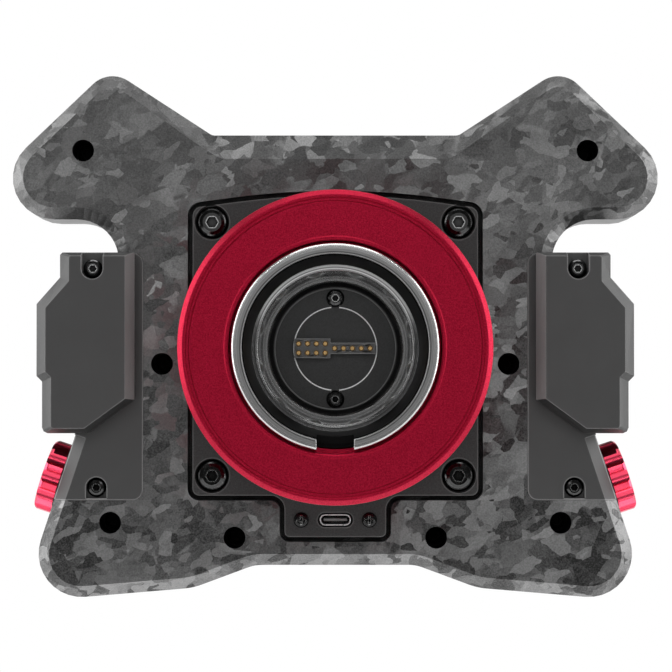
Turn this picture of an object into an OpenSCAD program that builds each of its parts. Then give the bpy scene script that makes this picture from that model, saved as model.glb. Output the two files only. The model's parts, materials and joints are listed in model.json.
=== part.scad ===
// Racing wheel body with a quick-release coupling.
// Axes: X across the wheel, Z up, Y along the steering axis. The driver sits on the +Y side.
// The origin is on the steering axis, at the middle of the quick release's pilot bore.
// Modules are drawn from the housing's rear face, and placed() moves them to that origin.

/* [Housing] */
// Height of the flat top edge above the steering axis
top_z = 61.8; // [60:0.1:63]
// Depth of the whole housing, front to back
body_depth = 32; // [31:0.5:34]
// Depth of the rear shell, up to the parting line
rear_depth = 24; // [24:0.5:25]
// Thickness of the side walls of both shells
side_wall = 4; // [3.8:0.1:4.2]
// Thickness of the rear and front walls
face_wall = 3.5; // [3.4:0.1:3.6]
// Width of the chamfer round both faces
edge_chamfer = 3.3; // [2.8:0.1:3.4]
// Extra width of the rear chamfer along the flat top edge
top_chamfer_extra = 3.7; // [2:0.1:4]

/* [Mount plate] */
// Half the width of the opening that the mount plate sits in
plate_half_w = 42.5; // [42:0.1:43]
// Gap between the mount plate and the rear shell
plate_gap = 1.4; // [1:0.1:1.6]
// Thickness of the mount plate
plate_t = 5; // [4.6:0.1:5.2]
// Half the distance between the corner screws across the wheel
corner_screw_x = 35.5; // [35:0.1:36]
// Half the distance between the corner screws up the wheel
corner_screw_z = 36.5; // [36:0.1:37]

/* [Quick release] */
// Radius of the pilot bore that a mating coupling fits in
pilot_r = 21.7; // [21.5:0.1:21.8]
// Radius of the cone's mouth
cone_mouth_r = 25.9; // [25.6:0.1:26]
// How far the steel nose stands out from the rear face
nose_reach = 35; // [35:0.5:36]
// Outer radius of the locking ring
ring_r = 43.9; // [43:0.1:45]
// Travel of the locking ring when it is pulled to release
ring_travel = 6.5; // [5:0.5:6.5]
// Number of locking balls
ball_count = 12; // [8:2:12]
// Radius of a locking ball
ball_r = 3.5; // [3.4:0.05:3.5]

/* [Controls] */
// Radius of a thumb knob
thumb_r = 10.5; // [10:0.1:10.8]
// Height of a thumb knob
thumb_h = 5.3; // [5:0.1:6]
// Radius of a push button's cap
button_r = 5.4; // [5:0.1:5.4]
// Travel of a push button
button_travel = 1.5; // [1:0.1:1.5]
// Radius of a rotary knob
rotary_r = 9.5; // [8.5:0.1:10]
// Height of a rotary knob
rotary_h = 12; // [11:0.5:14]

/* [Hidden] */

$fn = 64;
carbon = "#4b4c4e";
black = "#2a2b2e";
board_green = "#1e3a2c";
steel = "#b8bbbf";
red = "#9b1b30";
bright_red = "#d52a4c";
gold = "#c9a046";

arc_steps = 10;
play = 0.05;

// Outline of the housing, right half from the bottom up: x, z and radius of each corner.
side_tilt = 18.4;
waist_x = 62.6;
shoulder = [35.6, top_z, 3];
half_outline = [
    [23.2, -62.3, 12], [41, -68.9, 20], [91, -73.1, 12.5], [waist_x, 12.3, 20],
    [waist_x, 37.5, 12.1], [111.3, 37.5, 12], [65.4, 81.2, 8.2], shoulder
];
// The front shell's lower edge stays low a little further in than the rear shell's.
front_half_outline = [
    [23.2, -62.3, 12], [40.2, -69.6, 8], [91, -73.3, 12.5], [waist_x, 12.3, 20],
    [waist_x, 37.5, 12.1], [111.3, 37.5, 12], [65.4, 81.2, 8.2], shoulder
];
half_opening = [
    [16, -55.5, 2.9], [16, -43.6, 2.6], [plate_half_w, -43.6, 3.4], [plate_half_w, 41.9, 4]
];
opening_apex = [0, 47.5, 220];

case_screw_spots = [[72.7, 57.2], [49.9, -4.3], [64.8, -50], [29, -54.3]];
case_hole_r = 3.15;
button_spots = [[80, 48.5], [63, 64.5], [55, 43], [50, 20], [75.5, -61]];
rotary_spots = [[-32, -34], [0, -46], [32, -34]];
board_screw_spots = [[38, 46], [36, 4], [48, -44]];
hub_screw_pcd = 66;
hub_screw_count = 6;

function at(p) = [p[0], p[1]];
function unit(v) = v / norm(v);
function mirrored(half) = [for (i = [len(half) - 1 : -1 : 0]) [-half[i][0], half[i][1], half[i][2]]];
function left_of(v) = [-v[1], v[0]];

// Where the line through p along u meets the line through q along v
function crossing(p, u, q, v) = p + u * cross(q - p, v) / cross(u, v);

// Moves every edge of a counterclockwise outline inwards by d
function inset(corners, d) = [
    for (i = [0 : len(corners) - 1])
        let (
            n = len(corners),
            before = at(corners[(i + n - 1) % n]),
            here = at(corners[i]),
            after = at(corners[(i + 1) % n]),
            u = unit(here - before),
            v = unit(after - here),
            p = crossing(here + d * left_of(u), u, here + d * left_of(v), v),
            r = corners[i][2] + (cross(u, v) > 0 ? -d : d)
        )
        [p[0], p[1], max(r, 0.3)]
];

// Rounds every corner of an outline with an arc of its own radius
function rounded(corners, steps = arc_steps) = [
    for (i = [0 : len(corners) - 1])
        let (
            n = len(corners),
            here = at(corners[i]),
            r = corners[i][2],
            u = unit(at(corners[(i + n - 1) % n]) - here),
            v = unit(at(corners[(i + 1) % n]) - here),
            half = acos(u * v) / 2,
            centre = here + unit(u + v) * r / sin(half),
            start = here + u * r / tan(half) - centre,
            turn = (cross(-u, v) > 0 ? 1 : -1) * (180 - 2 * half),
            first = atan2(start[1], start[0])
        )
        for (k = [0 : steps])
            centre + r * [cos(first + turn * k / steps), sin(first + turn * k / steps)]
];

side_corners = concat(half_outline, mirrored(half_outline));
front_corners = concat(front_half_outline, mirrored(front_half_outline));
opening_corners = concat(half_opening, [opening_apex], mirrored(half_opening));
plate_corners = inset(opening_corners, plate_gap);

// The rear chamfer's outline at depth y: the chamfer is wider along the flat top edge.
shoulder_shift = 2.2;
function rear_outline(y) =
    let (
        share = 1 - y / edge_chamfer,
        top = [shoulder[0] - shoulder_shift * share, top_z - (edge_chamfer + top_chamfer_extra) * share]
    )
    [
        for (c = inset(side_corners, edge_chamfer - y))
            abs(c[0]) < 40 && c[1] > 50 ? [sign(c[0]) * top[0], top[1], c[2]] : c
    ];

// Extrudes a shape drawn in X and Z from y0 to y1
module slab(y0, y1) {
    translate([0, y1, 0])
        rotate([90, 0, 0])
            linear_extrude(y1 - y0)
                children();
}

// Joins outlines with equal numbers of points into one solid; each ring is [points, y]
module lofted(rings) {
    n = len(rings[0][0]);
    last = len(rings) - 1;
    points = [for (ring = rings) for (p = ring[0]) [p[0], ring[1], p[1]]];
    sides = [
        for (j = [0 : last - 1]) for (i = [0 : n - 1])
            let (k = (i + 1) % n, a = j * n, b = a + n)
            for (tri = [[a + i, a + k, b + k], [a + i, b + k, b + i]]) tri
    ];
    rear_cap = [for (i = [n - 1 : -1 : 0]) i];
    front_cap = [for (i = [0 : n - 1]) last * n + i];
    polyhedron(points, concat([rear_cap], sides, [front_cap]), convexity = 10);
}

// Keeps what lies between y0 and y1
module between(y0, y1) {
    difference() {
        children();
        for (y = [y0 - 4, y1])
            translate([-120, y, -120])
                cube([240, 4, 240]);
    }
}

// A cylinder along Y from y0 to y1
module rod(x, z, y0, y1, r) {
    translate([x, y0, z])
        rotate([-90, 0, 0])
            cylinder(h = y1 - y0, r = r);
}

// A solid of revolution about the steering axis; profile points are [radius, y]
module turned(profile) {
    rotate([-90, 0, 0])
        rotate_extrude($fn = 128)
            polygon(profile);
}

module both_sides() {
    children();
    mirror([1, 0, 0])
        children();
}

// A button-head screw along Z with its head's underside at zero and its shank below it
module button_screw(head_r, head_h, shank_r, shank_l, socket_r) {
    difference() {
        union() {
            translate([0, 0, -shank_l])
                cylinder(h = shank_l + head_h / 2, r = shank_r, $fn = 32);
            rotate_extrude($fn = 48)
                polygon([
                    [0, 0], [head_r, 0], [head_r, head_h * 0.3], [head_r * 0.93, head_h * 0.6],
                    [head_r * 0.78, head_h * 0.86], [head_r * 0.58, head_h], [0, head_h]
                ]);
        }
        translate([0, 0, head_h * 0.35])
            cylinder(h = head_h, r = socket_r, $fn = 6);
    }
}

// The same screw driven from the rear, with the head's underside at y
module rear_screw(x, y, z, head_r, head_h, shank_r, shank_l, socket_r) {
    translate([x, y, z])
        rotate([90, 0, 0])
            button_screw(head_r, head_h, shank_r, shank_l, socket_r);
}

// Places children on the sloping side, with local Z along the outward normal
side_normal = [cos(side_tilt), sin(side_tilt)];
side_offset = waist_x * side_normal[0] + 12.3 * side_normal[1];
module on_slope(y, z) {
    translate([(side_offset - z * side_normal[1]) / side_normal[0], y, z])
        rotate([0, 90 - side_tilt, 0])
            children();
}

// ---------- housing ----------

module_opening = [[55.3, 27.7, 3.1], [55.3, -43.6, 3.1], [100, -43.6, 1], [100, 27.7, 1]];
case_head_y = 18;
low_boss_y = 7.2;
ledge_t = 3;

module rear_shell() {
    color(carbon)
        difference() {
            union() {
                difference() {
                    between(0, rear_depth)
                        lofted([
                            [rounded(rear_outline(-1)), -1],
                            [rounded(side_corners), edge_chamfer],
                            [rounded(side_corners), rear_depth + 1]
                        ]);
                    slab(face_wall, rear_depth + 1)
                        polygon(rounded(inset(side_corners, side_wall)));
                }
                slab(face_wall - 0.5, plate_t + ledge_t)
                    translate([-48, -59])
                        square([96, 109]);
                both_sides()
                    for (p = case_screw_spots)
                        rod(p[0], p[1], face_wall - 0.5, rear_depth, 5);
                both_sides() {
                    rod(low_screw[0], low_screw[1], face_wall, low_boss_y, 3.6);
                    slab(face_wall - 0.5, low_boss_y)
                        translate([low_screw[0] - 3, -48])
                            square([6, 8]);
                }
            }
            slab(-1, plate_t)
                polygon(rounded(opening_corners));
            slab(plate_t - 1, plate_t + ledge_t + 1)
                polygon(rounded(inset(opening_corners, 8)));
            slab(plate_t - 1, plate_t + ledge_t + 1)
                translate([-14.6, -54.3])
                    square([29.2, 20]);
            both_sides() {
                slab(-1, face_wall)
                    polygon(rounded(flipped(module_opening)));
                rod(low_screw[0], low_screw[1], 0, low_boss_y + 1, 1.5 + play);
                on_slope(13.5, -38)
                    translate([0, 0, -8])
                        cylinder(h = 12, r = 3.6);
                base_screw_spots()
                    translate([0, 0, -8])
                        cylinder(h = 12, r = 1.5 + play);
                for (p = case_screw_spots) {
                    rod(p[0], p[1], -1, case_head_y, case_hole_r);
                    rod(p[0], p[1], case_head_y - 1, rear_depth + 1, 1.5 + play);
                }
                for (z = [-corner_screw_z, corner_screw_z])
                    rod(corner_screw_x, z, plate_t - 1, plate_t + ledge_t + 1, 2.5 + play);
            }
        }
}

module front_shell() {
    color(carbon)
        difference() {
            union() {
                difference() {
                    between(rear_depth, body_depth)
                        lofted([
                            [rounded(front_corners), rear_depth - 1],
                            [rounded(front_corners), body_depth - edge_chamfer],
                            [rounded(inset(front_corners, edge_chamfer + 1)), body_depth + 1]
                        ]);
                    slab(rear_depth - 1, body_depth - face_wall)
                        polygon(rounded(inset(front_corners, side_wall)));
                }
                both_sides() {
                    for (p = case_screw_spots)
                        rod(p[0], p[1], rear_depth, body_depth - face_wall + 0.5, 4);
                    for (p = board_screw_spots)
                        rod(p[0], p[1], board_y + board_t, body_depth - face_wall + 0.5, 2.6);
                }
            }
            both_sides() {
                for (p = case_screw_spots)
                    rod(p[0], p[1], rear_depth - 1, body_depth - face_wall, 1.5 + play);
                for (p = board_screw_spots)
                    rod(p[0], p[1], board_y, body_depth - face_wall, 1.25 + play);
                for (p = button_spots)
                    rod(p[0], p[1], body_depth - face_wall - 1, body_depth + 1, button_r + 0.9);
            }
            for (p = rotary_spots)
                rod(p[0], p[1], body_depth - face_wall - 1, body_depth + 1, 3.6);
        }
}

module case_screws() {
    color(black)
        both_sides()
            for (p = case_screw_spots)
                rear_screw(p[0], case_head_y, p[1], 2.8, 2.6, 1.5, cap_bottom_y - case_head_y - 0.5, 1.4);
}

// ---------- mount plate ----------

// Where the hub's screws pass through the mount plate
module hub_screw_ring() {
    for (k = [0 : hub_screw_count - 1])
        rotate([0, 360 / hub_screw_count * (k + 0.5), 0])
            translate([hub_screw_pcd / 2, 0, 0])
                children();
}

hub_seat_y = 3;
usb_z = -49.2;
usb_screw_x = 9.8;
corner_head_seat = 2;

module mount_plate() {
    color(black)
        difference() {
            slab(0, plate_t)
                polygon(rounded(plate_corners));
            rod(0, 0, -1, hub_seat_y, 38.4);
            rod(0, 0, hub_seat_y - 1, plate_t + 1, 12);
            both_sides()
                for (z = [-corner_screw_z, corner_screw_z]) {
                    rod(corner_screw_x, z, -1, corner_head_seat, 5);
                    rod(corner_screw_x, z, 0, plate_t + 1, 2.5 + play);
                }
            hub_screw_ring()
                rod(0, 0, hub_seat_y - 1, plate_t + 1, 2 + play);
            for (z = [-14.5, 14.5])
                rod(0, z, hub_seat_y - 1, plate_t + 1, 1.25 + play);
            slab(-1, plate_t + 1)
                translate([0, usb_z])
                    rounded_slot(10.2, 4.2);
            both_sides()
                rod(usb_screw_x, usb_z, -1, plate_t + 1, 1.25 + play);
        }
}

// A slot with round ends, centred, w by h
module rounded_slot(w, h) {
    square([w - h, h], center = true);
    for (side = [-1, 1])
        translate([side * (w - h) / 2, 0])
            circle(d = h);
}

module mount_plate_screws() {
    color(black)
        both_sides()
            for (z = [-corner_screw_z, corner_screw_z])
                rear_screw(corner_screw_x, corner_head_seat, z, 4.6, 2.7, 2.5, 5.8, 1.75);
}

// ---------- quick release ----------

sleeve_r = 28;
land_r = sleeve_r + 0.3;
ball_y = -11.6;
ball_orbit_r = sleeve_r - ball_r;
flange_y = -1;
pilot_y0 = -21.5;
pilot_y1 = -15.5;
shoulder_y = -8;
nose_y = -nose_reach;

module ball_ring() {
    for (k = [0 : ball_count - 1])
        rotate([0, 360 / ball_count * (k + 0.5), 0])
            translate([0, ball_y, ball_orbit_r])
                children();
}

module qr_hub() {
    color(black)
        difference() {
            turned([
                [18.9, hub_seat_y], [38, hub_seat_y], [38, flange_y], [sleeve_r, flange_y],
                [sleeve_r, nose_y + 6], [27, nose_y + 6], [27, nose_y + 1.5],
                [cone_mouth_r - 0.3, nose_y + 1.5], [23.4, pilot_y0 - 1], [pilot_r + 0.4, pilot_y0 - 0.4],
                [pilot_r, pilot_y0], [pilot_r, pilot_y1], [pilot_r + 0.3, pilot_y1 + 0.3],
                [pilot_r + 0.3, shoulder_y], [19.4, shoulder_y], [18.9, shoulder_y + 0.5]
            ]);
            ball_ring()
                translate([0, 0, -6])
                    cylinder(h = 16, r = ball_r + play, $fn = 48);
            hub_screw_ring()
                rod(0, 0, flange_y - 1, hub_seat_y + 1, 2 + play);
            translate([-5.2, nose_y, -30])
                cube([10.4, 5.5, 8]);
        }
}

module qr_hub_screws() {
    color(steel)
        hub_screw_ring()
            translate([0, plate_t, 0])
                rotate([-90, 0, 0])
                    button_screw(3.6, 2.2, 2, plate_t - flange_y - 0.4, 1.4);
}

module qr_nose_ring() {
    color(steel)
        difference() {
            turned([
                [cone_mouth_r + 0.3, nose_y], [28.4, nose_y], [28.9, nose_y + 0.5], [28.9, nose_y + 5.9],
                [27 + play, nose_y + 5.9], [27 + play, nose_y + 1.4], [cone_mouth_r, nose_y + 1.4],
                [cone_mouth_r, nose_y + 0.3]
            ]);
            translate([-5.2, nose_y - 1, -30])
                cube([10.4, 8, 8]);
        }
}

ring_face_y = nose_y + 1;
stop_gap = 1;
ring_back_y = flange_y - stop_gap - ring_travel;

module locking_ring() {
    color(red)
        turned([
            [29.6, ring_face_y + 0.1], [30.1, ring_face_y - 0.4], [30.7, ring_face_y - 0.4],
            [31, ring_face_y],
            [40.5, ring_face_y], [40.8, ring_face_y + 0.5], [41.5, ring_face_y + 0.5], [41.9, ring_face_y],
            [42.5, ring_face_y], [ring_r, ring_face_y + 1.4], [ring_r, -28], [ring_r - 1.1, -27],
            [ring_r - 1.1, -25.4], [ring_r, -24.4], [ring_r, -21.4], [ring_r - 1.2, -20.2],
            [37.2, -20.2], [36.2, -19.2], [36.2, ring_back_y + 0.5], [35.7, ring_back_y], [34.4, ring_back_y],
            [34.4, -19], [31, -19], [31, ring_back_y], [land_r + 0.4, ring_back_y],
            [land_r, ring_back_y - 0.4], [land_r, -14.5], [land_r + 1.5, -16], [land_r + 1.5, -20.5],
            [land_r, -21.5], [land_r, nose_y + 6.3], [29.6, nose_y + 6.3]
        ]);
}

// A coil spring about the steering axis from y0 to y1
spring_r = 32.7;
spring_wire_r = 0.8;
spring_turns = 5;
spring_y0 = -18.95;
spring_y1 = flange_y - 0.05;
module ring_spring() {
    per_turn = 18;
    sides = 8;
    n = spring_turns * per_turn;
    span = spring_y1 - spring_y0 - 2 * spring_wire_r;
    points = [
        for (i = [0 : n]) for (k = [0 : sides - 1])
            let (
                a = 360 * i / per_turn,
                b = 360 * k / sides,
                r = spring_r + spring_wire_r * cos(b),
                y = spring_y0 + spring_wire_r + span * i / n + spring_wire_r * sin(b)
            )
            [r * sin(a), y, r * cos(a)]
    ];
    walls = [
        for (i = [0 : n - 1]) for (k = [0 : sides - 1])
            let (m = (k + 1) % sides, a = i * sides, b = a + sides)
            for (tri = [[a + k, b + m, a + m], [a + k, b + k, b + m]]) tri
    ];
    start_cap = [for (k = [0 : sides - 1]) k];
    end_cap = [for (k = [sides - 1 : -1 : 0]) n * sides + k];
    color(steel)
        polyhedron(points, concat([start_cap], walls, [end_cap]), convexity = 10);
}

module locking_balls() {
    color(steel)
        ball_ring()
            sphere(r = ball_r, $fn = 32);
}

// ---------- connector ----------

holder_r = 17.9;
board_face_y = -3;
connector_screw_z = 14.5;
pin_pitch = 2.54;
wide_pins = [for (k = [0 : 3]) for (z = [-1.22, 1.42]) [-10.5 + k * pin_pitch, z]];
narrow_pins = [for (k = [0 : 4]) [-0.2 + k * pin_pitch, 0.1]];

module connector_holder() {
    color(black)
        difference() {
            turned([
                [0, hub_seat_y], [holder_r, hub_seat_y], [holder_r, board_face_y],
                [holder_r - 0.4, board_face_y - 0.4],
                [holder_r - 0.7, board_face_y - 0.4], [holder_r - 0.7, board_face_y + 1.6],
                [0, board_face_y + 1.6]
            ]);
            rod(0, 0, 0, hub_seat_y + 1, 11);
            slab(board_face_y, hub_seat_y + 1)
                translate([-12, -3])
                    square([24, 6]);
            for (z = [-connector_screw_z, connector_screw_z])
                rod(0, z, board_face_y, hub_seat_y + 1, 1.25 + play);
        }
}

module connector_board() {
    color(black)
        difference() {
            rod(0, 0, board_face_y, board_face_y + 1.55, holder_r - 0.8);
            for (z = [-connector_screw_z, connector_screw_z])
                rod(0, z, board_face_y - 1, board_face_y + 2, 1.25 + play);
            for (p = concat(wide_pins, narrow_pins))
                rod(p[0], p[1], board_face_y - 1, board_face_y + 2, 0.45);
        }
}

module connector_screws() {
    color(black)
        for (z = [-connector_screw_z, connector_screw_z])
            rear_screw(0, board_face_y, z, 2.6, 1.6, 1.25, 7.4, 1);
}

module header_block() {
    color(black)
        difference() {
            slab(board_face_y - 2.4, board_face_y) {
                translate([-11.8, -2.7])
                    square([10.4, 5.6]);
                translate([-1.5, -1.5])
                    square([13, 3.2]);
            }
            for (p = concat(wide_pins, narrow_pins))
                rod(p[0], p[1], board_face_y - 4, board_face_y + 1, 0.8);
        }
}

module contact_pins() {
    color(gold)
        for (p = concat(wide_pins, narrow_pins)) {
            rod(p[0], p[1], board_face_y - 2.5, board_face_y, 0.75);
            rod(p[0], p[1], board_face_y - 3.3, board_face_y - 2, 0.5);
            rod(p[0], p[1], board_face_y - 1, board_face_y + 1.9, 0.4);
        }
}

// ---------- USB port ----------

module usb_port() {
    color(steel)
        difference() {
            slab(0.4, 8)
                translate([0, usb_z])
                    rounded_slot(8.94, 3.2);
            slab(-1, 6.5)
                translate([0, usb_z])
                    rounded_slot(8.3, 2.56);
        }
    color(black)
        translate([-3.3, 1.2, usb_z - 0.35])
            cube([6.6, 5.5, 0.7]);
}

module usb_board() {
    color(board_green)
        difference() {
            slab(plate_t + 0.1, plate_t + 1.7)
                translate([-13, usb_z - 4.5])
                    square([26, 9.5]);
            slab(plate_t - 1, plate_t + 3)
                translate([0, usb_z])
                    rounded_slot(9.1, 3.4);
            both_sides()
                rod(usb_screw_x, usb_z, plate_t - 1, plate_t + 3, 1.25 + play);
        }
}

module usb_screws() {
    color(black)
        both_sides()
            translate([usb_screw_x, 0, usb_z])
                rotate([90, 0, 0])
                    difference() {
                        union() {
                            translate([0, 0, -7.5])
                                cylinder(h = 8, r = 1.25, $fn = 32);
                            rotate_extrude($fn = 48)
                                polygon([[0, 0], [2.2, 0], [2.2, 0.4], [1.9, 0.9], [1.3, 1.2], [0, 1.3]]);
                        }
                        for (a = [0, 90])
                            rotate([0, 0, a])
                                translate([-1.3, -0.22, 0.5])
                                    cube([2.6, 0.44, 2]);
                    }
}

// ---------- main board ----------

board_y = 20;
board_t = 1.6;

module main_board() {
    color(board_green)
        difference() {
            slab(board_y, board_y + board_t)
                polygon(rounded(inset(side_corners, side_wall + 0.6), 4));
            both_sides() {
                for (p = case_screw_spots)
                    rod(p[0], p[1], board_y - 1, board_y + board_t + 1, 5.4);
                for (p = board_screw_spots)
                    rod(p[0], p[1], board_y - 1, board_y + board_t + 1, 1.25 + play);
            }
        }
}

module main_board_screws() {
    color(steel)
        both_sides()
            for (p = board_screw_spots)
                rear_screw(p[0], board_y, p[1], 2.2, 1.4, 1.25, 8, 0.9);
}

// ---------- side modules ----------

lower_top = 0;
raised_y = -9;
bevel_y = -4.5;
cover_plate = [
    [55.4, 27.6, 3], [74.9, 27.6, 0.3], [74.9, -24.2, 0.3], [81.3, -43.5, 0.3], [55.4, -43.5, 3]
];
raised_foot = [
    [57.8, 27.6], [78.2, 27.6], [78.9, 26.9], [78.9, 20.4], [85.6, 12.8], [85.6, -7.8], [84, -9.4],
    [84, -22.6], [83.5, -23.7], [82.4, -24.2], [70.9, -24.2], [57.8, -14.6]
];
raised_face = [
    [60, 26.5], [75.5, 26.5], [76, 26], [76, 19.2], [82.7, 11.6], [82.7, -6.6], [81.1, -8.2],
    [81.1, -22], [80.9, -22.5], [80.4, -22.8], [71.6, -22.8], [60, -14.3]
];
cover_hollow = [[61.6, 17], [74.4, 17], [81, 10], [81, -20.5], [72.5, -20.5], [61.6, -12.5]];
top_screw = [69.4, 22.9];
low_screw = [68.8, -39.9];
top_seat_y = -4.5;
low_seat_y = 1.9;

function flipped(points) = [for (i = [len(points) - 1 : -1 : 0]) points[i]];

module raised_block() {
    lofted([[flipped(raised_face), raised_y], [flipped(raised_foot), bevel_y]]);
    slab(bevel_y, face_wall)
        polygon(raised_foot);
}

// A notch open towards the cover's edge, round at the screw
module screw_notch(spot, r, edge_z, y0, y1) {
    rod(spot[0], spot[1], y0, y1, r);
    slab(y0, y1)
        translate([spot[0] - r, min(spot[1], edge_z)])
            square([2 * r, abs(edge_z - spot[1])]);
}

// Cuts the cover's edge along the sloping side, in line with the housing's chamfer
module slope_chamfer() {
    on_slope(0, thumb_z)
        translate([-14, 0, -edge_chamfer])
            rotate([45, 0, 0])
                translate([0, -6, 0])
                    cube([32, 12, 6]);
}

module module_cover() {
    color(black)
        difference() {
            union() {
                difference() {
                    slab(lower_top, face_wall)
                        polygon(rounded(flipped(cover_plate)));
                    slope_chamfer();
                }
                raised_block();
            }
            slab(raised_y + 2.2, face_wall + 1)
                polygon(cover_hollow);
            screw_notch(top_screw, 3.05, 30, raised_y - 1, top_seat_y);
            rod(top_screw[0], top_screw[1], top_seat_y - 1, face_wall + 1, 1.5 + play);
            screw_notch(low_screw, 3, -43, -1, low_seat_y);
            rod(low_screw[0], low_screw[1], 0, face_wall + 1, 1.5 + play);
        }
}

// Where the two screws that hold a module's base pass through the housing's wall
module base_screw_spots() {
    translate([waist_x, 13, 19])
        rotate([0, 90, 0])
            children();
    on_slope(13, -15)
        children();
}

module module_base() {
    color(black)
        difference() {
            slab(face_wall + 0.05, 21)
                polygon([
                    [waist_x + 0.3, 26.4], [77.7, 26.4], [77.7, 20], [84.4, 12.3], [84.4, -7.3],
                    [82.8, -8.9], [82.8, -22.8], [74.8, -22.8], [waist_x + 0.3, 12.3]
                ]);
            slab(face_wall - 1, 18.5)
                polygon([[69.5, 12.5], [76.8, 12.5], [81.9, 8], [81.9, -6.5], [80.3, -8], [77.5, -8]]);
            rod(top_screw[0], top_screw[1], 0, 12, 1.5 + play);
            base_screw_spots()
                translate([0, 0, -1])
                    cylinder(h = 8.5, r = 1.5 + play);
        }
}

module module_screws() {
    color(black) {
        rear_screw(top_screw[0], top_seat_y, top_screw[1], 2.75, 1.65, 1.5, 14, 1.1);
        rear_screw(low_screw[0], low_seat_y, low_screw[1], 2.75, 1.65, 1.5, low_boss_y - low_seat_y, 1.1);
        base_screw_spots()
            translate([0, 0, -side_wall - 0.1])
                rotate([180, 0, 0])
                    button_screw(2.75, 1.65, 1.5, 10.5, 1.1);
    }
}

// ---------- thumb knobs ----------

thumb_y = 13.5;
thumb_z = -38;
thumb_gap = 0.5;
shaft_r = 2.95;
bushing_r = 3.5;

module thumb_knob() {
    flutes = 12;
    edge_r = 1.7;
    color(bright_red)
        on_slope(thumb_y, thumb_z)
            translate([0, 0, thumb_gap])
                difference() {
                    intersection() {
                        linear_extrude(thumb_h)
                            difference() {
                                circle(r = thumb_r, $fn = 96);
                                for (k = [0 : flutes - 1])
                                    rotate(360 / flutes * k)
                                        translate([thumb_r + 1.1, 0])
                                            circle(r = 2.3, $fn = 32);
                            }
                        rotate_extrude($fn = 96)
                            polygon(concat(
                                [[0, -0.1], [thumb_r + 0.1, -0.1]],
                                [for (a = [0 : 15 : 90])
                                    [thumb_r + 0.1, thumb_h] + edge_r * [cos(a) - 1, sin(a) - 1]],
                                [[6.4, thumb_h], [5.8, thumb_h - 0.6], [0, thumb_h - 0.6]]
                            ));
                    }
                    translate([0, 0, -1])
                        cylinder(h = thumb_h - 0.4, r = shaft_r + 0.01);
                }
}

module thumb_shaft() {
    color(steel)
        on_slope(thumb_y, thumb_z)
            translate([0, 0, -9])
                cylinder(h = 9 + thumb_gap + thumb_h - 1.5, r = shaft_r);
}

module thumb_encoder() {
    color(black)
        on_slope(thumb_y, thumb_z)
            difference() {
                union() {
                    translate([-6, -5.9, -side_wall - 6.7])
                        cube([12, 11.8, 6.5]);
                    translate([0, 0, -side_wall - 1])
                        cylinder(h = side_wall + 1.2, r = bushing_r);
                }
                translate([0, 0, -9.5])
                    cylinder(h = 12, r = shaft_r + play);
            }
}

// ---------- front controls ----------

cap_bottom_y = body_depth - face_wall;
cap_top_y = body_depth + 3.4;

module push_button(spot) {
    color(black)
        translate([spot[0], 0, spot[1]])
            turned([
                [0, cap_bottom_y], [button_r, cap_bottom_y], [button_r, cap_top_y - 1],
                [button_r - 0.4, cap_top_y - 0.4], [button_r - 1.1, cap_top_y],
                [button_r - 2, cap_top_y - 0.1], [0, cap_top_y - 0.7]
            ]);
}

module button_bezels() {
    inner = button_r + 0.3;
    outer = button_r + 2.2;
    neck = button_r + 0.85;
    color(bright_red)
        both_sides()
            for (p = button_spots)
                translate([p[0], 0, p[1]])
                    turned([
                        [inner, cap_bottom_y], [neck, cap_bottom_y], [neck, body_depth],
                        [outer, body_depth], [outer, body_depth + 1.2], [outer - 0.8, body_depth + 2],
                        [inner + 0.3, body_depth + 2], [inner, body_depth + 1.7]
                    ]);
}

module button_switches() {
    top = cap_bottom_y - button_travel - 0.4;
    color(black)
        both_sides()
            for (p = button_spots) {
                translate([p[0] - 3, board_y + board_t, p[1] - 3])
                    cube([6, top - board_y - board_t - 0.8, 6]);
                rod(p[0], p[1], top - 1.5, top, 1.7);
            }
}

module rotary_knob(spot) {
    flutes = 18;
    base_y = body_depth + 0.6;
    top_y = body_depth + rotary_h;
    color(red)
        translate([spot[0], 0, spot[1]])
            difference() {
                intersection() {
                    slab(base_y, top_y)
                        difference() {
                            circle(r = rotary_r, $fn = 96);
                            for (k = [0 : flutes - 1])
                                rotate(360 / flutes * k)
                                    translate([rotary_r + 0.8, 0])
                                        circle(r = 1.4, $fn = 24);
                        }
                    turned([
                        [0, base_y - 1], [rotary_r + 0.2, base_y - 1], [rotary_r + 0.2, top_y - 1.3],
                        [rotary_r - 1.1, top_y], [rotary_r - 3, top_y], [rotary_r - 3.5, top_y - 0.5],
                        [0, top_y - 0.5]
                    ]);
                }
                rod(0, 0, base_y - 1, body_depth + 3, 6.6);
                rod(0, 0, base_y - 1, top_y - 2, shaft_r + 0.01);
                translate([-0.5, top_y - 1.2, 2.5])
                    cube([1, 3, rotary_r]);
            }
}

module rotary_shaft(spot) {
    color(steel)
        rod(spot[0], spot[1], board_y + board_t + 1.5, body_depth + rotary_h - 2.1, shaft_r);
}

module rotary_encoders() {
    color(black)
        for (p = rotary_spots)
            difference() {
                union() {
                    translate([p[0] - 6, board_y + board_t, p[1] - 6])
                        cube([12, cap_bottom_y - board_y - board_t - 0.2, 12]);
                    rod(p[0], p[1], cap_bottom_y - 1, body_depth + 2.3, bushing_r);
                }
                rod(p[0], p[1], board_y + board_t + 1.2, body_depth + 3, shaft_r + play);
            }
}

module rotary_nuts() {
    color(steel)
        for (p = rotary_spots)
            difference() {
                slab(body_depth, body_depth + 2.2)
                    translate(p)
                        circle(r = 5.7, $fn = 6);
                rod(p[0], p[1], body_depth - 1, body_depth + 3, bushing_r + play);
            }
}

module left() {
    mirror([1, 0, 0])
        children();
}

// Moves a piece so that the middle of the pilot bore is at the origin
module placed() {
    translate([0, -(pilot_y0 + pilot_y1) / 2, 0])
        children();
}

function left_spot(i) = [-button_spots[i][0], button_spots[i][1]];

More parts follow.
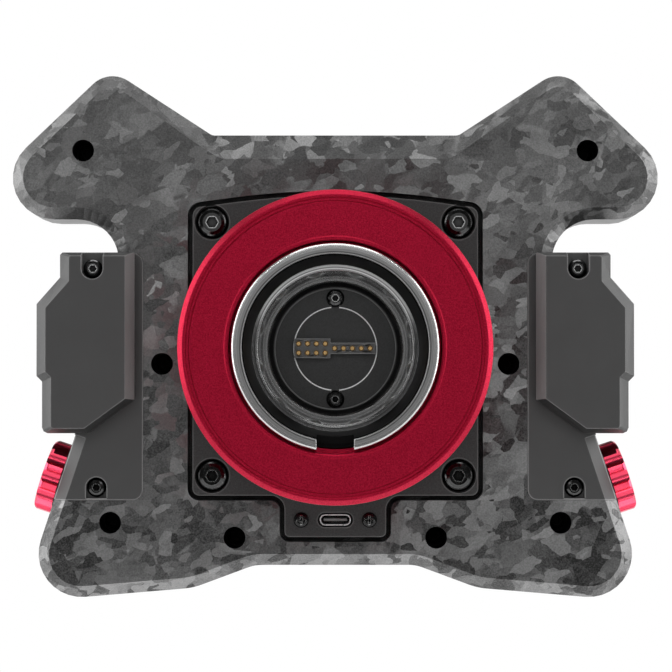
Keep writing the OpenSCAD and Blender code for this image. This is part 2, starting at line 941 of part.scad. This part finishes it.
placed() rear_shell();
placed() front_shell();
placed() case_screws();
placed() mount_plate();
placed() mount_plate_screws();
placed() qr_hub();
placed() qr_hub_screws();
placed() qr_nose_ring();
placed() locking_ring();
placed() ring_spring();
placed() locking_balls();
placed() connector_holder();
placed() connector_board();
placed() connector_screws();
placed() header_block();
placed() contact_pins();
placed() usb_port();
placed() usb_board();
placed() usb_screws();
placed() main_board();
placed() main_board_screws();
placed() left() module_cover();  // left_module_cover
placed() module_cover();  // right_module_cover
placed() left() module_base();  // left_module_base
placed() module_base();  // right_module_base
placed() left() module_screws();  // left_module_screws
placed() module_screws();  // right_module_screws
placed() left() thumb_knob();  // left_thumb_knob
placed() thumb_knob();  // right_thumb_knob
placed() left() thumb_shaft();  // left_thumb_shaft
placed() thumb_shaft();  // right_thumb_shaft
placed() left() thumb_encoder();  // left_thumb_encoder
placed() thumb_encoder();  // right_thumb_encoder
placed() button_bezels();
placed() button_switches();
placed() push_button(left_spot(0));  // left_button_1
placed() push_button(left_spot(1));  // left_button_2
placed() push_button(left_spot(2));  // left_button_3
placed() push_button(left_spot(3));  // left_button_4
placed() push_button(left_spot(4));  // left_button_5
placed() push_button(button_spots[0]);  // right_button_1
placed() push_button(button_spots[1]);  // right_button_2
placed() push_button(button_spots[2]);  // right_button_3
placed() push_button(button_spots[3]);  // right_button_4
placed() push_button(button_spots[4]);  // right_button_5
placed() rotary_encoders();
placed() rotary_nuts();
placed() rotary_knob(rotary_spots[0]);  // left_rotary_knob
placed() rotary_knob(rotary_spots[1]);  // centre_rotary_knob
placed() rotary_knob(rotary_spots[2]);  // right_rotary_knob
placed() rotary_shaft(rotary_spots[0]);  // left_rotary_shaft
placed() rotary_shaft(rotary_spots[1]);  // centre_rotary_shaft
placed() rotary_shaft(rotary_spots[2]);  // right_rotary_shaft
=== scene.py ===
"""Racing wheel body with a quick-release coupling: materials, small details, lights and camera."""

import json
import math

import bmesh
import bpy
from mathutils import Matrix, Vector


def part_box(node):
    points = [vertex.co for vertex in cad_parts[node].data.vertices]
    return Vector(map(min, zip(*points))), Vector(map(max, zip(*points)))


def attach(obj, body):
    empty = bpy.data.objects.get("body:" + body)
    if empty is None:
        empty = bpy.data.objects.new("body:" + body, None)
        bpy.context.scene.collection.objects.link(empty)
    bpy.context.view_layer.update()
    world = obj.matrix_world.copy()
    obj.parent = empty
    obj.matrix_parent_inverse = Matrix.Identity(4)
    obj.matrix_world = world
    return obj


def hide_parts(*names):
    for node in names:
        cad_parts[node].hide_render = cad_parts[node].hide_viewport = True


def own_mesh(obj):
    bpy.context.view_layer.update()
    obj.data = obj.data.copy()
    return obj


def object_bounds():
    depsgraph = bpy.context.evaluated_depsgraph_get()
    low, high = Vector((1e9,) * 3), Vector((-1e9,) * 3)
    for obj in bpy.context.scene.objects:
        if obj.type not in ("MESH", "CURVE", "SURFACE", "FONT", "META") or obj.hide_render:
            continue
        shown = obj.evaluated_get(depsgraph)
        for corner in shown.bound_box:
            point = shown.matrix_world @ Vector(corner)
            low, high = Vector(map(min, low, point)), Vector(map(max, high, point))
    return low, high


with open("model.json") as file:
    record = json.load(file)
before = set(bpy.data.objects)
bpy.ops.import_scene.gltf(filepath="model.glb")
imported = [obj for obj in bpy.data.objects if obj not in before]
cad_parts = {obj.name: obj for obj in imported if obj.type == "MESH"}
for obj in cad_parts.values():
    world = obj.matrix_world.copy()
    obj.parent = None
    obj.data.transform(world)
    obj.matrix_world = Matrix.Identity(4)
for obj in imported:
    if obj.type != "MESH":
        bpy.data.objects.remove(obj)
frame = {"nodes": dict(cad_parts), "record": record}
cad_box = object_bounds()
MM = 0.001


# ---------- where things are ----------


def centre_of(node):
    low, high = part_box(node)
    return (low + high) / 2


REAR_FACE_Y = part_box("rear_shell")[0].y
LOW, HIGH = cad_box
MIDDLE = (LOW + HIGH) / 2


# ---------- node helpers ----------


class Surface:
    """A material's node tree, with short calls for the nodes that the materials below use."""

    def __init__(self, name, **sockets):
        self.material = bpy.data.materials.new(name)
        self.material.use_nodes = True
        self.tree = self.material.node_tree
        self.shader = self.tree.nodes["Principled BSDF"]
        for socket, value in sockets.items():
            self.shader.inputs[socket.replace("_", " ")].default_value = value
        coordinates = self.tree.nodes.new("ShaderNodeTexCoord")
        self.place = self.vector("SCALE", coordinates.outputs["Object"], scale=1 / MM)

    def new(self, kind, inputs, **settings):
        node = self.tree.nodes.new(kind)
        for name, value in settings.items():
            setattr(node, name, value)
        for socket, value in inputs.items():
            self.feed(node.inputs[socket], value)
        return node

    def feed(self, socket, value):
        if isinstance(value, bpy.types.NodeSocket):
            self.tree.links.new(value, socket)
        else:
            socket.default_value = value

    def vector(self, operation, a, b=None, scale=None):
        inputs = {0: a}
        if b is not None:
            inputs[1] = b
        if scale is not None:
            inputs["Scale"] = scale
        node = self.new("ShaderNodeVectorMath", inputs, operation=operation)
        return node.outputs["Value" if operation in ("LENGTH", "DISTANCE") else "Vector"]

    def math(self, operation, a, b=0.0, clamp=False):
        node = self.new("ShaderNodeMath", {0: a, 1: b}, operation=operation, use_clamp=clamp)
        return node.outputs[0]

    def ramp(self, value, low, high, to_low=0.0, to_high=1.0):
        """Maps low..high to to_low..to_high, clamped."""
        inputs = {"Value": value, "From Min": low, "From Max": high, "To Min": to_low, "To Max": to_high}
        return self.new("ShaderNodeMapRange", inputs).outputs["Result"]

    def mix(self, share, a, b):
        return self.new("ShaderNodeMix", {"Factor": share, 2: a, 3: b}, data_type="FLOAT").outputs[0]

    def colour(self, share, a, b):
        return self.new("ShaderNodeMix", {"Factor": share, 6: a, 7: b}, data_type="RGBA").outputs[2]

    def turned_place(self, degrees, size):
        """Places turned by degrees about X, Y and Z, and counted in cells of that size in millimetres."""
        rotation = [math.radians(d) for d in degrees]
        inputs = {"Vector": self.place, "Rotation": rotation, "Scale": size}
        return self.new("ShaderNodeMapping", inputs, vector_type="TEXTURE").outputs["Vector"]

    # Used by the materials below to paint shade into holes and gaps.
    def openness(self, reach):
        """One on open surfaces and zero deep inside holes and gaps narrower than reach millimetres."""
        node = self.new("ShaderNodeAmbientOcclusion", {"Distance": reach * MM}, samples=6)
        return node.outputs["AO"]

    # Used by the materials below to paint highlights on convex edges.
    def edges(self, reach):
        """One on convex edges, falling to zero within about reach millimetres of them."""
        inputs = {"Distance": reach * MM}
        node = self.new("ShaderNodeAmbientOcclusion", inputs, samples=8, inside=True, only_local=True)
        return self.ramp(node.outputs["AO"], 0.9, 0.55)

    def noise(self, scale, detail=2.0, roughness=0.5, where=None):
        inputs = {"Vector": where or self.place, "Scale": scale, "Detail": detail, "Roughness": roughness}
        return self.new("ShaderNodeTexNoise", inputs).outputs["Fac"]

    def cells(self, where):
        return self.new("ShaderNodeTexVoronoi", {"Vector": where, "Scale": 1.0}).outputs["Color"]

    def soft_cells(self, where, softness):
        """Colours of straight-sided cells, which run into each other by softness."""
        inputs = {"Vector": where, "Scale": 1.0, "Smoothness": softness}
        settings = {"feature": "SMOOTH_F1", "distance": "MANHATTAN"}
        return self.new("ShaderNodeTexVoronoi", inputs, **settings).outputs["Color"]

    def split(self, value):
        return self.new("ShaderNodeSeparateXYZ", {0: value}).outputs

    def bump(self, height, distance, strength=1.0, normal=None):
        """Bumps the surface by distance in millimetres, over the given normal if there is one."""
        inputs = {"Height": height, "Distance": distance * MM, "Strength": strength}
        if normal is not None:
            inputs["Normal"] = normal
        self.feed(self.shader.inputs["Normal"], self.new("ShaderNodeBump", inputs).outputs["Normal"])

    def normal(self):
        return self.new("ShaderNodeNewGeometry", {}).outputs["Normal"]

    def set(self, **sockets):
        for socket, value in sockets.items():
            self.feed(self.shader.inputs[socket.replace("_", " ")], value)

    def radius(self):
        """Distance from the steering axis, in millimetres."""
        x, _, z = self.split(self.place)
        flat = self.new("ShaderNodeCombineXYZ", {"X": x, "Z": z}).outputs[0]
        return self.vector("LENGTH", flat)

    def rings(self, scale, roughness):
        """Noise that changes only with the distance from the steering axis, like turning marks."""
        along = self.new("ShaderNodeCombineXYZ", {"X": self.radius()}).outputs[0]
        return self.noise(scale, 2.0, roughness, along)


def grey(value):
    return (value, value, value, 1.0)


# ---------- materials ----------


def forged_carbon():
    """Chips of carbon fibre at every angle: layers of stretched cells with their own shade, grain and tilt.
    The chips are calmer in the upper horns and darker at the foot. Holes and gaps are painted black inside
    as shade."""
    s = Surface("forged_carbon", Metallic=0.92, Coat_Weight=0.2, Coat_Roughness=0.35)
    straight = s.place
    middle = (0.5, 0.5, 0.5)
    ripple = s.new("ShaderNodeTexNoise", {"Vector": s.place, "Scale": 0.2, "Detail": 4.0}).outputs["Color"]
    shade = s.ramp(s.noise(0.05, 3.0), 0.3, 0.7, 0.17, 0.29)
    tilt = s.vector("SUBTRACT", ripple, middle)
    # Turn in degrees, chip size and edge waviness in millimetres, edge softness, share left bare, cover.
    layers = [
        ((10, 20, 5), (13.0, 8.0, 9.0), 2.6, 0.6, 0.0, 0.5),
        ((0, 70, 15), (14.0, 8.0, 6.0), 2.2, 0.5, 0.2, 0.5),
        ((20, -38, 0), (12.0, 7.0, 5.0), 1.6, 0.35, 0.35, 0.6),
        ((-15, 115, 10), (8.0, 6.0, 5.0), 0.5, 0.15, 0.45, 0.7),
        ((5, 8, -20), (7.0, 5.0, 4.2), 0.15, 0.05, 0.55, 0.75),
        ((5, 150, -20), (5.5, 4.0, 3.2), 0.1, 0.04, 0.70, 0.85),
    ]
    for turn, size, bend, soft, bare, cover in layers:
        s.place = s.vector("ADD", straight, s.vector("SCALE", ripple, scale=bend))
        where = s.turned_place(turn, size)
        colour = s.soft_cells(where, soft)
        chip = s.split(colour)
        grain = s.noise(1.0, 2.0, 0.6, s.vector("MULTIPLY", where, (2.0, 10.0, 18.0)))
        flat_tone = s.ramp(chip[0], 0.2, 0.8, 0.02, 0.35)
        tone = s.math("ADD", flat_tone, s.ramp(grain, 0.3, 0.7, -0.03, 0.03))
        here = s.ramp(chip[1], bare, bare + 0.01 + soft * 0.3, 0.0, cover)
        shade = s.mix(here, shade, tone)
        lean = s.vector("SUBTRACT", colour, middle)
        tilt = s.new("ShaderNodeMix", {"Factor": here, 4: tilt, 5: lean}, data_type="VECTOR").outputs[1]
    s.place = straight
    fine = s.ramp(s.noise(2.4, 2.0), 0.25, 0.75, -0.055, 0.055)
    height = s.split(s.place)[2]
    mean = s.ramp(height, -20.0, -55.0, 0.15, 0.115)
    contrast = s.ramp(height, 50.0, 5.0, 0.34, 0.68)
    usual = 0.19
    spread = s.math("MULTIPLY", s.math("SUBTRACT", shade, usual), contrast)
    shade = s.math("ADD", s.math("ADD", spread, mean), fine, clamp=True)
    chips = s.colour(shade, grey(0.015), grey(0.62))
    # Painted shade: holes and gaps narrower than about 7 mm are painted near-black.
    unshaded_share = s.ramp(s.openness(7.0), 0.15, 0.55)
    s.set(
        Base_Color=s.colour(unshaded_share, grey(0.002), chips),
        Roughness=s.ramp(shade, 0.0, 1.0, 0.40, 0.28),
    )
    leaning = s.vector("ADD", s.normal(), s.vector("SCALE", tilt, scale=0.42))
    s.bump(s.noise(3.0, 3.0), 0.02, normal=s.vector("NORMALIZE", leaning))
    return s.material


def black_anodised():
    """Fine-blasted black aluminium, with painted highlights on its edges and painted shade in its gaps."""
    s = Surface("black_anodised", Roughness=0.5)
    speck = s.noise(2.0, 4.0, 0.7)
    face = s.colour(s.ramp(speck, 0.38, 0.66), grey(0.003), grey(0.022))
    # Painted highlight: convex edges are painted paler.
    face = s.colour(s.edges(0.5), face, grey(0.10))
    # Painted shade: gaps and hollows are painted near-black.
    s.set(Base_Color=s.colour(s.ramp(s.openness(3.0), 0.1, 0.6), grey(0.003), face))
    s.bump(speck, 0.06)
    return s.material


def hub_finish():
    """Black cone, and bare turned steel on the bore's lip, wall and shoulder, with painted highlights on
    the steel's edges.
    """
    s = Surface("hub_finish", Specular_IOR_Level=0.06)
    lip_y, lip_radius, blend = -4.2, 23.9, 0.1
    past_lip = s.ramp(s.split(s.place)[1], lip_y - blend, lip_y + blend)
    inside = s.math("MULTIPLY", past_lip, s.ramp(s.radius(), lip_radius + blend, lip_radius - blend))
    rings = s.rings(1.6, 0.6)
    steel = s.colour(s.ramp(rings, 0.4, 0.6), grey(0.08), grey(0.42))
    # Painted highlight: the steel's convex edges, such as the bore's lip, are painted near-white.
    steel = s.colour(s.edges(0.6), steel, grey(0.95))
    black = s.colour(s.noise(2.0, 3.0), grey(0.001), grey(0.003))
    s.set(
        Base_Color=s.colour(inside, black, steel),
        Metallic=inside,
        Roughness=s.mix(inside, 0.4, 0.24),
    )
    s.bump(rings, 0.03)
    return s.material


def turned_steel():
    """Steel with fine turning marks round the steering axis, and painted highlights on its edges."""
    s = Surface("turned_steel", Metallic=1.0)
    marks = s.rings(1.5, 0.5)
    turned = s.colour(marks, grey(0.25), grey(0.50))
    s.set(
        # Painted highlight: convex edges are painted near-white.
        Base_Color=s.colour(s.edges(0.9), turned, grey(0.95)),
        Roughness=s.ramp(marks, 0.3, 0.7, 0.2, 0.3),
    )
    s.bump(marks, 0.02)
    return s.material


def nose_steel():
    """Bare steel, smoother outside, with painted light running from bright on the outer rim to dark towards
    the mouth, and painted highlights on its edges.
    """
    s = Surface("nose_steel", Metallic=1.0)
    # Painted light: the base colour runs from dark at the mouth to bright on the outer rim; the same share
    # makes the outside smoother.
    painted_light_and_polish = s.ramp(s.radius(), 26.4, 28.6)
    steel = s.colour(painted_light_and_polish, grey(0.07), grey(0.62))
    marked = s.colour(s.ramp(s.rings(1.5, 0.5), 0.4, 0.6, 0.0, 0.25), steel, grey(0.8))
    s.set(
        # Painted highlight: convex edges are painted near-white.
        Base_Color=s.colour(s.edges(0.5), marked, grey(0.95)),
        Roughness=s.mix(painted_light_and_polish, 0.35, 0.2),
    )
    return s.material


def red_anodised():
    """Deep red anodised aluminium with a fine satin grain."""
    s = Surface("red_anodised", Metallic=1.0, Roughness=0.36)
    grain = s.ramp(s.noise(2.4, 3.0, 0.7), 0.3, 0.7)
    s.set(Base_Color=s.colour(grain, (0.20, 0.004, 0.016, 1), (0.40, 0.012, 0.038, 1)))
    s.bump(grain, 0.03)
    return s.material


def bright_red_anodised():
    """Brighter, smoother red anodised aluminium."""
    s = Surface("bright_red_anodised", Metallic=1.0, Roughness=0.27, Coat_Weight=0.35, Coat_Roughness=0.12)
    grain = s.noise(4.0, 3.0, 0.6)
    s.set(Base_Color=s.colour(grain, (0.72, 0.030, 0.080, 1), (0.90, 0.075, 0.15, 1)))
    s.bump(grain, 0.01)
    return s.material


def moulded_black():
    """Moulded dark-grey plastic with a fine spark-eroded texture. Its edges carry a painted highlight, its
    inward slants are painted paler as light, and its downward slants are painted darker as shade."""
    s = Surface("moulded_black", Roughness=0.5, Specular_IOR_Level=0.5)
    pits = s.noise(5.0, 3.0, 0.7)
    cloud = s.noise(0.12, 2.0)
    tone = s.math("ADD", s.math("MULTIPLY", pits, 0.5), s.math("MULTIPLY", cloud, 0.5))
    face = s.colour(tone, grey(0.022), grey(0.038))
    # Painted light and shade: slants facing in towards the middle are painted paler, and slants facing down
    # are painted near-black.
    across, _, rise = s.split(s.normal())
    inward = s.math("MULTIPLY", across, s.math("SIGN", s.split(s.place)[0]))
    level = s.ramp(s.math("ABSOLUTE", rise), 0.25, 0.15)
    slant = s.colour(tone, grey(0.17), grey(0.22))
    slanted = s.colour(s.math("MULTIPLY", s.ramp(inward, -0.25, -0.4), level), face, slant)
    slanted = s.colour(s.ramp(rise, -0.25, -0.4), slanted, grey(0.006))
    # Painted highlight: convex edges are painted paler.
    s.set(Base_Color=s.colour(s.edges(0.45), slanted, grey(0.22)))
    s.bump(pits, 0.03)
    return s.material


def screw_finish(name, dark, light, roughness, rim=0.5):
    """Oiled or plated screw metal, a little uneven, with a painted highlight within rim millimetres of its
    edges and painted shade in its sockets and hollows.
    """
    s = Surface(name, Metallic=1.0)
    patch = s.noise(1.2, 3.0, 0.6)
    # Painted highlight: the metal is painted pale within rim millimetres of convex edges.
    edge_highlit = s.colour(s.edges(rim), s.colour(patch, dark, light), grey(0.8))
    s.set(
        # Painted shade: sockets and hollows are painted near-black.
        Base_Color=s.colour(s.ramp(s.openness(1.6), 0.35, 0.75), grey(0.004), edge_highlit),
        Roughness=s.ramp(patch, 0.3, 0.7, roughness - 0.03, roughness + 0.05),
    )
    s.bump(s.noise(3.0, 2.0), 0.008)
    return s.material


def solder_mask():
    """Glossy black board lacquer with the copper under it faintly showing."""
    s = Surface("solder_mask", Roughness=0.3, Coat_Weight=0.3, Coat_Roughness=0.2)
    copper = s.cells(s.turned_place((0, 45, 0), (0.12, 0.2, 0.28)))
    plane = s.ramp(s.split(copper)[0], 0.45, 0.5)
    tone = s.math("ADD", s.math("MULTIPLY", plane, 0.6), s.math("MULTIPLY", s.noise(3.0, 2.0), 0.4))
    s.set(Base_Color=s.colour(tone, grey(0.016), grey(0.032)))
    s.bump(plane, 0.03, 0.6)
    return s.material


def gold_contact():
    """Gold-plated spring pins, the plungers painted bright as a highlight and the barrels painted darker as
    shade.
    """
    s = Surface("gold_contact", Metallic=1.0, Roughness=0.25)
    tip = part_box("contact_pins")[0].y / MM
    # Painted highlight and shade: the plunger tips get bright gold and the barrels dark gold.
    plunger = s.ramp(s.split(s.place)[1], tip + 0.7, tip + 0.5)
    wear = s.noise(4.0, 3.0)
    dull = s.colour(wear, (0.16, 0.09, 0.035, 1), (0.30, 0.18, 0.07, 1))
    bright = s.colour(wear, (0.75, 0.46, 0.18, 1), (0.98, 0.70, 0.34, 1))
    s.set(Base_Color=s.colour(plunger, dull, bright))
    return s.material


def header_nylon():
    """The contact header's dark grey nylon, with painted highlights on its edges."""
    s = Surface("header_nylon", Roughness=0.42)
    grain = s.noise(4.0, 3.0, 0.6)
    nylon = s.colour(grain, grey(0.06), grey(0.10))
    # Painted highlight: convex edges are painted paler.
    s.set(Base_Color=s.colour(s.edges(0.3), nylon, grey(0.4)))
    s.bump(grain, 0.02)
    return s.material


def usb_steel():
    """Drawn nickel-plated shell with painted highlights on its edges and painted shade inside it, and a
    dull tongue.
    """
    s = Surface("usb_steel")
    x, _, z = s.split(s.place)
    height = s.math("ABSOLUTE", s.math("SUBTRACT", z, centre_of("usb_port").z / MM))
    across = s.math("ABSOLUTE", x)
    tongue = s.math("MULTIPLY", s.math("LESS_THAN", height, 0.45), s.math("LESS_THAN", across, 3.4))
    smear = s.noise(1.5, 3.0, 0.6)
    plated = s.colour(smear, grey(0.30), grey(0.45))
    # Painted highlight: convex edges are painted near-white.
    plated = s.colour(s.edges(0.3), plated, grey(0.95))
    # Painted shade: the inside of the shell is painted near-black.
    open_plated = s.colour(s.ramp(s.openness(2.0), 0.35, 0.7), grey(0.002), plated)
    s.set(
        Base_Color=s.colour(tongue, open_plated, grey(0.16)),
        Metallic=s.mix(tongue, 1.0, 0.0),
        Roughness=s.ramp(smear, 0.2, 0.8, 0.22, 0.4),
    )
    return s.material


def button_rubber():
    """Matt black silicone button caps."""
    s = Surface("button_rubber", Roughness=0.62)
    grain = s.noise(3.0, 3.0, 0.65)
    s.set(Base_Color=s.colour(grain, grey(0.014), grey(0.030)))
    s.bump(grain, 0.03)
    return s.material


def painted_shade_screw():
    """Dull screw heads, painted almost black as the shade at the bottom of their deep holes."""
    s = Surface("painted_shade_screw", Roughness=0.6, Specular_IOR_Level=0.2)
    # Painted shade: the heads are painted near-black because they sit deep in their holes.
    s.set(Base_Color=s.colour(s.noise(2.0, 3.0), grey(0.003), grey(0.008)))
    return s.material


def bearing_steel():
    """Steel balls painted paler than steel to stand in for their glints, with a soft shine."""
    s = Surface("bearing_steel", Metallic=1.0)
    haze = s.noise(2.0, 3.0, 0.6)
    # Painted highlight: the base colour is set near-white so the balls read as glints.
    s.set(
        Base_Color=s.colour(haze, grey(0.88), grey(0.98)),
        Roughness=s.ramp(haze, 0.3, 0.7, 0.30, 0.42),
    )
    return s.material


def white_ink():
    """White board print, slightly thin in places."""
    s = Surface("white_ink", Roughness=0.6)
    s.set(Base_Color=s.colour(s.ramp(s.noise(2.5, 3.0), 0.35, 0.6), grey(0.75), grey(0.95)))
    return s.material


SLOT_MATERIALS = {
    "forged_carbon": forged_carbon(),
    "black_anodised": black_anodised(),
    "black_screw": screw_finish("black_screw", grey(0.05), grey(0.08), 0.14),
    "zinc_screw": screw_finish("zinc_screw", grey(0.42), grey(0.62), 0.3),
    "turned_steel": turned_steel(),
    "red_anodised": red_anodised(),
    "bright_red_anodised": bright_red_anodised(),
    "moulded_black": moulded_black(),
    "solder_mask": solder_mask(),
    "gold_contact": gold_contact(),
    "usb_steel": usb_steel(),
    "button_rubber": button_rubber(),
}


def dress_frame():
    """Gives every CAD node its slot's material, or one of its own."""
    slots = {part["node"]: part["material_slot"] for part in frame["record"]["subparts"]}
    for name, node in frame["nodes"].items():
        node.data.materials.clear()
        node.data.materials.append(SLOT_MATERIALS[slots[name]])
    special = {
        "qr_hub": hub_finish(),
        "qr_nose_ring": nose_steel(),
        "locking_balls": bearing_steel(),
        "header_block": header_nylon(),
        "case_screws": painted_shade_screw(),
        "usb_screws": screw_finish("small_screw", grey(0.02), grey(0.04), 0.2, rim=0.12),
    }
    for name, material in special.items():
        frame["nodes"][name].data.materials[0] = material


def soften(name, width):
    """Rounds a CAD node's sharp edges by a small width in millimetres, so that they catch the light."""
    node = frame["nodes"][name]
    weld = node.modifiers.new("weld", "WELD")
    weld.merge_threshold = 0.002 * MM
    bevel = node.modifiers.new("edges", "BEVEL")
    bevel.width = width * MM
    bevel.segments = 2
    bevel.limit_method = "ANGLE"
    bevel.angle_limit = math.radians(35)
    bevel.use_clamp_overlap = True
    weighted = node.modifiers.new("normals", "WEIGHTED_NORMAL")
    weighted.keep_sharp = False


EDGE_WIDTHS = {
    "mount_plate": 0.25,
    "left_module_cover": 0.22,
    "right_module_cover": 0.22,
    "qr_hub": 0.14,
    "header_block": 0.14,
    "locking_ring": 0.12,
    "qr_nose_ring": 0.5,
}


# ---------- pieces made here ----------


def piece(name, build, material, body="housing", smooth=True):
    """Makes a mesh piece with a builder that fills a bmesh, gives it a material and rides it on a body."""
    mesh = bpy.data.meshes.new(name)
    working = bmesh.new()
    build(working)
    bmesh.ops.recalc_face_normals(working, faces=working.faces)
    working.to_mesh(mesh)
    working.free()
    for face in mesh.polygons:
        face.use_smooth = smooth
    made = bpy.data.objects.new(name, mesh)
    bpy.context.scene.collection.objects.link(made)
    made.data.materials.append(material)
    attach(made, body)
    return made


def sweep(working, centres, radius, sides):
    """A round tube with capped ends along centres, each a point and the two directions of its circle."""
    rings = []
    for point, outward, across in centres:
        ring = []
        for k in range(sides):
            turn = 2 * math.pi * k / sides
            direction = math.cos(turn) * outward + math.sin(turn) * across
            ring.append(working.verts.new(point + radius * direction))
        rings.append(ring)
    for before, after in zip(rings, rings[1:]):
        for k in range(sides):
            m = (k + 1) % sides
            working.faces.new((before[k], before[m], after[m], after[k]))
    working.faces.new(list(reversed(rings[0])))
    working.faces.new(rings[-1])


def make_ring_spring():
    """The locking ring's return spring, flat at both ends, made in place of the CAD spring."""
    low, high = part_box("ring_spring")
    wire = 0.8 * MM
    coil = high.x - wire
    turns, steps = 5, 48
    span = high.y - low.y - 2 * wire

    def lift(share):
        """How far along the axis the wire is, with half a turn closed flat at each end."""
        flat = 0.5 / turns
        return min(max((share - flat) / (1 - 2 * flat), 0.0), 1.0)

    def build(working):
        centres = []
        for i in range(turns * steps + 1):
            share = i / (turns * steps)
            turn = 2 * math.pi * turns * share
            outward = Vector((math.sin(turn), 0, math.cos(turn)))
            point = coil * outward + Vector((0, low.y + wire + span * lift(share), 0))
            centres.append((point, outward, Vector((0, 1, 0))))
        sweep(working, centres, wire, 12)

    spring = piece("return_spring", build, SLOT_MATERIALS["zinc_screw"])
    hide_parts("ring_spring")
    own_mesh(spring)


def make_printed_circle():
    """The thin white circle printed on the connector board, broken where the two screws sit."""
    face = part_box("connector_board")[0].y
    radius, half_width, ink = 11.9 * MM, 0.17 * MM, 0.03 * MM
    screw_gap = math.radians(5.5)
    steps = 72

    def build(working):
        for first in (screw_gap, math.pi + screw_gap):
            rows = []
            for i in range(steps + 1):
                turn = first + (math.pi - 2 * screw_gap) * i / steps
                outward = Vector((math.sin(turn), 0, math.cos(turn)))
                rows.append([
                    working.verts.new(r * outward + Vector((0, y, 0)))
                    for r, y in (
                        (radius - half_width, face), (radius - half_width, face - ink),
                        (radius + half_width, face - ink), (radius + half_width, face),
                    )
                ])
            for a, b in zip(rows, rows[1:]):
                for k in range(4):
                    m = (k + 1) % 4
                    working.faces.new((a[k], a[m], b[m], b[k]))
            working.faces.new(rows[0])
            working.faces.new(list(reversed(rows[-1])))

    piece("printed_circle", build, white_ink(), smooth=False)


# ---------- stage, lights and camera ----------


def make_camera():
    """Straight behind the wheel, a degree below the steering axis, with a long lens."""
    distance, field = 0.9, 0.1935
    aim = Vector((0.0002, REAR_FACE_Y, MIDDLE.z + 0.0002))
    drop = math.radians(1.0)
    data = bpy.data.cameras.new("camera")
    data.sensor_width = 36
    data.lens = 36 * distance / field
    camera = bpy.data.objects.new("camera", data)
    bpy.context.scene.collection.objects.link(camera)
    camera.location = aim + distance * Vector((0, -math.cos(drop), -math.sin(drop)))
    camera.rotation_euler = (math.radians(90) + drop, 0, 0)
    bpy.context.scene.camera = camera


def softbox(name, place, size, power):
    """A rectangular light that points at the wheel's middle and isn't seen by the camera."""
    data = bpy.data.lights.new(name, "AREA")
    data.shape = "RECTANGLE"
    data.size, data.size_y = size
    data.energy = power
    light = bpy.data.objects.new(name, data)
    bpy.context.scene.collection.objects.link(light)
    light.location = place
    light.rotation_mode = "QUATERNION"
    light.rotation_quaternion = (-Vector(place)).to_track_quat("-Z", "Y")
    light.visible_camera = False


def make_lights():
    """Large soft lights beside and above, small ones by the camera for glints, and one under the wheel."""
    for side in (-1, 1):
        softbox(f"side_{side}", (side * 1.1, 0.05, 0.2), (1.1, 1.4), 16)
        softbox(f"strip_{side}", (side * 0.62, -1.25, 0.2), (0.28, 1.2), 2)
        softbox(f"spark_{side}", (side * 0.35, -1.25, 0.5), (0.07, 0.07), 0.7)
    softbox("strip_top", (0, -1.25, 0.75), (1.0, 0.25), 2.4)
    softbox("top", (0, -0.2, 1.3), (1.2, 0.8), 9)
    softbox("under", (0, 0.04, LOW.z - 0.11), (0.6, 0.1), 0.25)
    softbox("fill", (0, -1.6, 0.3), (0.6, 0.5), 0.6)


def make_world():
    """White to the camera, and a studio that is pale behind the wheel and dim in front of it."""
    world = bpy.data.worlds.new("studio")
    bpy.context.scene.world = world
    world.use_nodes = True
    tree = world.node_tree
    background = tree.nodes["Background"]
    seen = tree.nodes.new("ShaderNodeBackground")
    seen.inputs["Color"].default_value = grey(1.0)
    direction = tree.nodes.new("ShaderNodeTexCoord")
    split = tree.nodes.new("ShaderNodeSeparateXYZ")
    tree.links.new(direction.outputs["Generated"], split.inputs[0])
    spread = tree.nodes.new("ShaderNodeMapRange")
    for socket, value in {"From Min": -0.5, "From Max": 0.7, "To Min": 0.05, "To Max": 0.9}.items():
        spread.inputs[socket].default_value = value
    tree.links.new(split.outputs["Y"], spread.inputs["Value"])
    tree.links.new(spread.outputs["Result"], background.inputs["Color"])
    path = tree.nodes.new("ShaderNodeLightPath")
    choose = tree.nodes.new("ShaderNodeMixShader")
    tree.links.new(path.outputs["Is Camera Ray"], choose.inputs["Fac"])
    tree.links.new(background.outputs[0], choose.inputs[1])
    tree.links.new(seen.outputs[0], choose.inputs[2])
    tree.links.new(choose.outputs[0], tree.nodes["World Output"].inputs["Surface"])


def make_floor():
    """A pale floor well below the wheel, which fades out in a circle towards its rim."""
    radius, drop, squares = 0.95, 0.13, 6
    mesh = bpy.data.meshes.new("floor")
    working = bmesh.new()
    bmesh.ops.create_grid(working, x_segments=squares, y_segments=squares, size=radius)
    working.to_mesh(mesh)
    working.free()
    floor = bpy.data.objects.new("floor", mesh)
    bpy.context.scene.collection.objects.link(floor)
    floor.location = (0, 0, LOW.z - drop)
    s = Surface("floor", Roughness=0.7)
    cloud = s.noise(0.02, 3.0)
    s.set(Base_Color=s.colour(cloud, grey(0.80), grey(0.88)))
    distance = s.vector("LENGTH", s.place)
    rim = s.ramp(distance, 0.55 * radius / MM, 0.98 * radius / MM)
    clear = s.tree.nodes.new("ShaderNodeBsdfTransparent")
    blend = s.tree.nodes.new("ShaderNodeMixShader")
    s.feed(blend.inputs[0], rim)
    s.tree.links.new(s.shader.outputs[0], blend.inputs[1])
    s.tree.links.new(clear.outputs[0], blend.inputs[2])
    s.tree.links.new(blend.outputs[0], s.tree.nodes["Material Output"].inputs["Surface"])
    mesh.materials.append(s.material)


# ---------- the scene ----------

make_camera()
make_world()
make_lights()
make_floor()
dress_frame()
for softened, edge_width in EDGE_WIDTHS.items():
    soften(softened, edge_width)
make_ring_spring()
make_printed_circle()
bpy.context.scene.view_settings.view_transform = "Standard"
